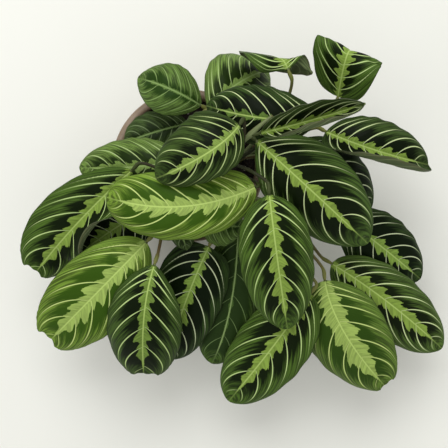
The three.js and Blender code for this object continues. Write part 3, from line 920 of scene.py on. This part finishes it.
# %% [markdown]
# ## One flat master blade
#
# The master is an even grid. Its rows stand for places along the blade that lie closer together
# towards both ends, where the outline turns fast. Every leaf gets a copy of it, whose points are
# moved by the rule of the blade.

# %% Model the master blade
BLADE_ROWS, BLADE_CELLS = 96, 48
start_clean()
bpy.ops.mesh.primitive_grid_add(x_subdivisions=BLADE_ROWS, y_subdivisions=BLADE_CELLS, size=2)
master_blade = named("master_blade")
grid = read_points(master_blade)
GRID_ALONG = (1 - np.cos(np.pi * (grid[:, 0] + 1) / 2)) / 2
GRID_ACROSS = grid[:, 1]
print("points of the master blade:", len(grid))

# %% [markdown]
# ## Furrows, cushions and a wavy margin
#
# The blade is not a smooth sheet. It puffs up a little between its veins, sinks along the midrib
# and the side veins, and its margin waves. These heights are added straight out of the bent
# blade. Underneath, the midrib and the veins stand out as ribs, so the wall is made thicker
# there. Some blades end in a dried, torn tip, so their last rows are drawn back unevenly.

# %% Relief of the blade
PUFF, FURROW, WAVE, SINK = 0.42, 0.5, 0.6, 0.05
WAVES_ON_A_MARGIN = 5.3
TORN_DEPTH, BITE_DEPTH = 0.045, 0.06
THIN_SHARE, VEIN_SHARE, MIDRIB_SHARE = 0.38, 0.16, 0.62


def relief(leaf, along, across, number):
    """Heights out of the blade, in millimetres."""
    reach = np.abs(across)
    inner = np.clip(reach / 0.2, 0, 1) * np.clip((1 - reach) / 0.3, 0, 1)
    puff = PUFF * np.sin(np.pi * number) ** 2 * inner
    out = reach * half_width(leaf, along, across)
    furrow = FURROW * np.exp(-(out / 1.1) ** 2) * np.clip((1 - along) / 0.15, 0.1, 1)
    turn = 2 * np.pi * along * WAVES_ON_A_MARGIN + np.where(across > 0, 0.4, 2.1) + leaf["width"]
    wave = leaf.get("wave", WAVE) * reach ** 3 * np.sin(np.pi * along) * np.sin(turn)
    return puff - furrow + wave - SINK


def torn(leaf, along, across):
    """Draws the end of a ragged blade back unevenly, and its margin in a little beside it."""
    ragged = leaf.get("ragged", 0)
    turn = across * 3.4 + leaf["width"]
    cut = TORN_DEPTH * ragged * (1 + 0.3 * np.sin(turn) + 0.1 * np.sin(3.1 * turn))
    near_tip = np.clip((along - 0.8) / 0.14, 0, 1) * np.abs(across) ** 4
    turn = along * 60 + np.where(across > 0, 1.0, 4.0) + leaf["width"]
    bites = 0.5 + 0.3 * np.sin(turn) + 0.2 * np.sin(2.7 * turn)
    return along * (1 - cut * along ** 6), across * (1 - BITE_DEPTH * ragged * near_tip * bites)


def rib(along, out, number):
    """How thick the blade is, as a share of the thickest place."""
    slip = np.abs(number - np.round(number))
    veins = VEIN_SHARE * np.exp(-(slip / 0.07) ** 2) * np.clip(1 - out / 30, 0, 1)
    middle = MIDRIB_SHARE * np.exp(-(out / 1.0) ** 2) * (1 - 0.75 * along)
    return np.clip(THIN_SHARE + veins + middle, 0, 1)


print("torn blades:", sum("ragged" in leaf for leaf in LEAVES))

# %% Bend one copy of the master for each leaf
BLADE_THICK = 0.0013
VEINS_APART = 20
NEAR_END = 0.000001
SLOTS = {"dark": "leaf_dark", "mid": "leaf_mid", "lemon": "leaf_lemon", "night": "leaf_shaded",
         "dull": "leaf_dull"}


def mark_points(piece, name, *columns):
    """Gives each point three numbers, which a finish reads by this name."""
    mark = piece.data.attributes.new(name, "FLOAT_VECTOR", "POINT")
    mark.data.foreach_set("vector", np.column_stack(columns).ravel())


def make_blade(index, leaf):
    blade = copy_of(master_blade, leaf["name"] + "_blade")
    along, across = torn(leaf, GRID_ALONG, GRID_ACROSS)
    number = vein_count(leaf, along, across) + np.where(across > 0, LEFT_AHEAD, 0.0)
    out = np.abs(across) * half_width(leaf, along, across)
    points = blade_point(leaf, along, across)
    points += blade_normal(leaf, along, across) * relief(leaf, along, across, number)[:, None]
    for end in (GRID_ALONG < NEAR_END, GRID_ALONG > 1 - NEAR_END):
        if np.ptp(half_width(leaf, along[end], across[end]) * across[end]) < NEAR_END:
            points[end] = points[end].mean(axis=0)
    write_points(blade, points * MM)

    dry = np.clip((GRID_ALONG - 0.99) / 0.01, 0, 1) * ("ragged" in leaf)
    marked = across + (np.where(across > 0, 1, -1) - across) * dry
    mark_points(blade, "blade", along, marked, number + VEINS_APART * index)
    shown = np.clip((number - 0.55) / 0.35, 0, 1) * np.clip((0.97 - along) / 0.08, 0, 1)
    mark_points(blade, "veins", out, shown, vein_crowding(leaf, along, across))
    thick = blade.vertex_groups.new(name="thick")
    for i, share in enumerate(rib(along, out, number)):
        thick.add([i], float(share), "REPLACE")

    close_skin(blade, NEAR_END, outwards=False)
    dress(blade, tops[leaf.get("look", leaf["tone"])], underside, edge_finish)
    apply_modifier(blade, "SOLIDIFY", thickness=BLADE_THICK, offset=-1, vertex_group="thick",
                   material_offset=1, material_offset_rim=2)
    bpy.ops.object.shade_smooth()
    hand_in(blade, SLOTS[leaf["tone"]], leaf["name"])


for index, leaf in enumerate(LEAVES):
    make_blade(index, leaf)
bpy.data.objects.remove(master_blade)

# %% [markdown]
# ## Stalks
#
# Each leaf stands on a long thin stalk. It leaves its stem inside a sheath, runs bare, and ends in
# a swollen joint that turns the blade to the light. A stalk is one tube: a small disc is extruded
# many times, and the rings that this leaves are laid along the stalk's route and given the radius
# that the stalk has there.

# %% Routes of the stalks
def smooth_route(corners, steps):
    """Points of a smooth curve through the corners, spaced by its length."""
    corners = [np.array(corner, float) for corner in corners]
    ends = [2 * corners[0] - corners[1], *corners, 2 * corners[-1] - corners[-2]]
    points = []
    for before, first, second, after in zip(ends, ends[1:], ends[2:], ends[3:]):
        gaps = [max(np.linalg.norm(b - a), 1e-4) ** 0.5
                for a, b in ((before, first), (first, second), (second, after))]
        leave = (first - before) / gaps[0] - (second - before) / (gaps[0] + gaps[1])
        leave = (leave + (second - first) / gaps[1]) * gaps[1]
        arrive = (second - first) / gaps[1] - (after - first) / (gaps[1] + gaps[2])
        arrive = (arrive + (after - second) / gaps[2]) * gaps[1]
        for t in np.linspace(0, 1, 24, endpoint=False):
            points.append((2 * t ** 3 - 3 * t ** 2 + 1) * first + (t ** 3 - 2 * t ** 2 + t) * leave
                          + (3 * t ** 2 - 2 * t ** 3) * second + (t ** 3 - t ** 2) * arrive)
    points = np.array(points + [corners[-1]])
    run = np.concatenate([[0], np.cumsum(np.linalg.norm(np.diff(points, axis=0), axis=1))])
    even = np.linspace(0, run[-1], steps)
    return np.column_stack([np.interp(even, run, points[:, axis]) for axis in range(3)]), run[-1]


def frames_along(route):
    """Two directions across the route at each point, which turn as little as they can."""
    ahead = unit(np.gradient(route, axis=0))
    first = np.cross(ahead[0], [0.3, 0.2, 1.0])
    across = [unit(first)]
    for direction in ahead[1:]:
        across.append(unit(across[-1] - direction * (across[-1] @ direction)))
    across = np.array(across)
    return across, np.cross(ahead, across)


print("a straight route of 5 mm comes out as", round(smooth_route([(0, 0, 0), (0, 3, 4)], 2)[1], 3))

# %% Where each stalk runs and how thick it is
STALK_RINGS, STALK_ROUND = 56, 12
JOINT_LENGTH, NECK_LENGTH, STALK_ROOT = 9, 3, 5
STALK_RADIUS = 1.25


def stalk_route(leaf):
    x, y, rise = STEM_FEET[leaf["stem"]]
    place, ahead, _, _ = midrib_at(leaf, np.array([0.0, 0.035]))
    joint = leaf.get("joint", place[0] - JOINT_LENGTH * ahead[0])
    neck = place[0] - NECK_LENGTH * ahead[0]
    root = (x, y, SOIL_TOP / MM + rise - STALK_ROOT)
    return smooth_route([root, *leaf["via"], joint, neck, place[0] - 0.3 * ahead[0]], STALK_RINGS)


def stalk_radius(length):
    """Thick at the root, thin on the way, swollen at the joint, and thin at the neck."""
    run = np.linspace(0, length, STALK_RINGS)
    left = length - run
    root = 0.55 * np.exp(-run / 14)
    joint = 0.42 * np.exp(-((left - 5.2) / 3.4) ** 4)
    neck = 0.35 * np.exp(-(left / 1.4) ** 2)
    return STALK_RADIUS + root + joint - neck


STALKS = []
for leaf in LEAVES:
    route, length = stalk_route(leaf)
    STALKS.append((leaf, route, stalk_radius(length)))
    print(leaf["name"], "stalk in mm:", round(length))

# %% Model one stalk and lay a copy along each route
STEM_RADIUS, STEM_TAPER, STEM_RING = 3.0, 0.5, 0.18
STEM_DEPTH = 29
master_stalk = disc("master_stalk", 1, 0, STALK_ROUND)
for _ in range(STALK_RINGS - 1):
    bpy.ops.mesh.extrude_region_move(TRANSFORM_OT_translate={"value": (0, 0, 1)})
bpy.ops.object.mode_set(mode="OBJECT")
close_skin(master_stalk, 0.0001)
ring_x, ring_y, ring_height = read_points(master_stalk).T
ring_of = np.rint(ring_height).astype(int)


def lay_along(name, route, radius):
    """A copy of the tube with its rings laid along a route, each with its own radius."""
    twin = copy_of(master_stalk, name)
    across, other = frames_along(route)
    sideways = across[ring_of] * ring_x[:, None] + other[ring_of] * ring_y[:, None]
    write_points(twin, (route[ring_of] + sideways * radius[ring_of][:, None]) * MM)
    mark = twin.data.attributes.new("run", "FLOAT", "POINT")
    mark.data.foreach_set("value", ring_of / (STALK_RINGS - 1))
    return twin


stem_parts = {name: [] for name in STEM_FEET}
for leaf, route, radius in STALKS:
    stem_parts[leaf["stem"]].append(lay_along(leaf["name"] + "_stalk", route, radius))
for name, (x, y, rise) in STEM_FEET.items():
    ground = SOIL_TOP / MM
    route = np.linspace((x, y, ground - STEM_DEPTH), (x, y, ground + rise), STALK_RINGS)
    share = np.linspace(0, 1, STALK_RINGS)
    radius = STEM_RADIUS - STEM_TAPER * share ** 4 + STEM_RING * np.sin(share * 60) ** 8
    stem_parts[name].append(lay_along(name + "_core", route, radius))
bpy.data.objects.remove(master_stalk)
print("tubes laid:", sum(len(found) for found in stem_parts.values()))

# %% Stalk finishes
# The stalks of the crown and the left stem stand in the shade under the leaves, so they get darker copies
# of the stalk and sheath finishes: painted shade.
STEMS_WITH_PAINTED_SHADE = ("stem_crown", "stem_left")


def stalk_finish(name, dark, light, flush_tone, joint_tone):
    made = Finish(name, 0.55)
    run = made.attribute("run", "Fac")
    place = made.here()
    cloud = made.noise(place, 120.0, 4.0)
    flush = made.ramp(made.noise(place, 45.0, 2.0), 0.35, 0.7)
    skin = made.mix(cloud, dark, light)
    skin = made.mix(flush * 0.7, skin, flush_tone)
    skin = made.mix(made.ramp(run, 0.86, 0.93) * 0.8, skin, joint_tone)
    made.bump(cloud, 0.3, 0.0002)
    return made.set(Base_Color=skin, Specular_IOR_Level=0.2)


open_stalk = stalk_finish("stalk_green_tan", (78, 82, 42), (110, 112, 62), (98, 72, 50), (112, 118, 58))
# A darker copy of the stalk finish: painted shade.
shade_painted_stalk = stalk_finish("stalk_painted_shade", (30, 36, 16), (52, 58, 28), (46, 36, 22), (58, 70, 30))
for name, parts in stem_parts.items():
    for part in parts:
        dress(part, shade_painted_stalk if name in STEMS_WITH_PAINTED_SHADE else open_stalk)

# %% [markdown]
# ## Open sheaths
#
# The lower part of each stalk is a thin sheath that wraps round it and stays open on one side. On
# the real plant it is green-grey, lined along its length, with a dry brown margin. One flat sheet
# is modelled, and a copy is wrapped round each stalk, nearly closed at the foot and open towards its
# free upper end. At the crown a young sheath stands alone, rolled in on itself, over one of the
# leaves.

# %% Model one sheet and the way it wraps
SHEATH_ROWS, SHEATH_CELLS = 40, 16
SHEATH_THICK = 0.0003
start_clean()
bpy.ops.mesh.primitive_grid_add(x_subdivisions=SHEATH_ROWS, y_subdivisions=SHEATH_CELLS, size=2)
master_sheath = named("master_sheath")
sheet = read_points(master_sheath)
sheet_run, sheet_turn = (sheet[:, 0] + 1) / 2, sheet[:, 1]
print("points of the sheet:", len(sheet))


def at_share(values, share):
    """Values given ring by ring, read between the rings."""
    rings = np.linspace(0, 1, len(values))
    return np.column_stack([np.interp(share, rings, column) for column in values.T])


def wrap(name, route, radius, half_angle, facing, finish):
    """The sheet wrapped round a route: radius, and half_angle if it varies, go by its points."""
    twin = copy_of(master_sheath, name)
    first, second = (at_share(directions, sheet_run) for directions in frames_along(route))
    turn = np.radians(facing) + sheet_turn * half_angle
    out = first * np.cos(turn)[:, None] + second * np.sin(turn)[:, None]
    write_points(twin, (at_share(route, sheet_run) + out * radius[:, None]) * MM)
    mark_points(twin, "sheet", sheet_run, sheet_turn, 0 * turn)
    apply_modifier(twin, "SOLIDIFY", thickness=SHEATH_THICK, offset=1)
    dress(twin, finish)
    return twin


# %% Sheath finishes
def sheath_finish(name, dark, light, brown):
    made = Finish(name, 0.6)
    along, turn, _ = made.parts(made.attribute("sheet"))
    lines = made.noise(made.joined(along * 1.5, turn * 16.0, 2.0), 1.0, 2.0)
    cloud = made.noise(made.here(), 140.0, 3.0)
    skin = made.mix(lines, dark, light)
    edge = abs(turn) + (cloud - 0.5) * 0.3
    skin = made.mix(made.ramp(edge, 0.8, 1.0) * 0.8, skin, brown)
    skin = made.mix(made.ramp(along, 0.94, 1.0) * 0.7, skin, brown)
    made.bump(lines, 0.5, 0.0002)
    return made.set(Base_Color=skin, Specular_IOR_Level=0.2)


open_sheath = sheath_finish("sheath_grey_green", (86, 98, 58), (128, 138, 96), (100, 76, 54))
# A darker copy of the sheath finish: painted shade.
shade_painted_sheath = sheath_finish("sheath_painted_shade", (34, 40, 20), (60, 66, 38), (48, 36, 24))

# %% Wrap a sheet round each stalk, and one alone at the crown
SHEATH_SHARE = 0.45
SHEATH_ROOM, SHEATH_FLARE = 0.12, 0.32
FACING_STEP = 137
for index, (leaf, route, radius) in enumerate(STALKS):
    hold = np.interp(sheet_run * SHEATH_SHARE, np.linspace(0, 1, STALK_RINGS), radius)
    flare = SHEATH_FLARE * np.abs(sheet_turn) ** 3 * sheet_run
    half_angle = np.radians(170 - 100 * sheet_run ** 4)
    held = route[:int(STALK_RINGS * SHEATH_SHARE) + 1]
    finish = shade_painted_sheath if leaf["stem"] in STEMS_WITH_PAINTED_SHADE else open_sheath
    stem_parts[leaf["stem"]].append(wrap(leaf["name"] + "_sheath", held, hold + SHEATH_ROOM + flare,
                                         half_angle, FACING_STEP * index, finish))

strap_route, _ = smooth_route([(44, 14, 179), (54, 23, 187), (64, 31, 189)], STALK_RINGS)
strap_size = np.interp(sheet_run, [0, 0.25, 1], [1.6, 2.5, 0.9]) * (1 - 0.16 * (sheet_turn + 1))
stem_parts["stem_crown"].append(wrap("crown_strap", strap_route, strap_size, np.radians(230), 40,
                                     open_sheath))
bpy.data.objects.remove(master_sheath)
print("parts of the stems:", sum(len(found) for found in stem_parts.values()))

# %% [markdown]
# ## Fine hairs
#
# Stalks and sheaths of this plant carry short soft hairs, seen from close by. A hair is a thin
# three-sided cone. It is modelled once and set on the stalks many times, standing out and leaning
# forward a little, so it has as few faces as it can.

# %% One hair, and its copies on the stalks
HAIR_LENGTH, HAIR_FOOT = 0.0011, 0.00006
HAIR_SUNK = 0.00005
HAIR_OUT = 0.1
HAIRS_ON_A_STALK = 44
start_clean()
bpy.ops.mesh.primitive_cone_add(vertices=3, radius1=HAIR_FOOT, depth=HAIR_LENGTH)
hair = named("hair")
dress(hair, clouded("hair_pale", 0.5, 300.0, (170, 176, 140), (206, 206, 182), 2.0))
hair_points = read_points(hair)
hair_points[:, 2] += HAIR_LENGTH / 2 - HAIR_SUNK
draw = np.random.default_rng(26)
for leaf, route, radius in STALKS:
    first, second = frames_along(route)
    ahead = unit(np.gradient(route, axis=0))
    for _ in range(HAIRS_ON_A_STALK):
        ring = int(draw.integers(2, STALK_RINGS - 5))
        turn = draw.uniform(0, 2 * math.pi)
        out = first[ring] * math.cos(turn) + second[ring] * math.sin(turn)
        stand = unit(out + ahead[ring] * draw.uniform(0.1, 0.6))
        across = unit(np.cross(stand, ahead[ring]))
        axes = np.array([across, np.cross(stand, across), stand])
        size = draw.uniform(0.6, 1.2)
        foot = (route[ring] + out * (radius[ring] + HAIR_OUT)) * MM
        twin = copy_of(hair, "hair_copy")
        write_points(twin, (hair_points * size) @ axes + foot)
        stem_parts[leaf["stem"]].append(twin)
bpy.data.objects.remove(hair)
print("hairs:", HAIRS_ON_A_STALK * len(STALKS))

# %% Join all that grows from one stem
for name, parts in stem_parts.items():
    stem = join_as(name + "_stalks", parts)
    bpy.ops.object.shade_smooth()
    hand_in(stem, "stem", name)

# %% [markdown]
# ## Finish
# side by side.

# %% Finish
start_clean()
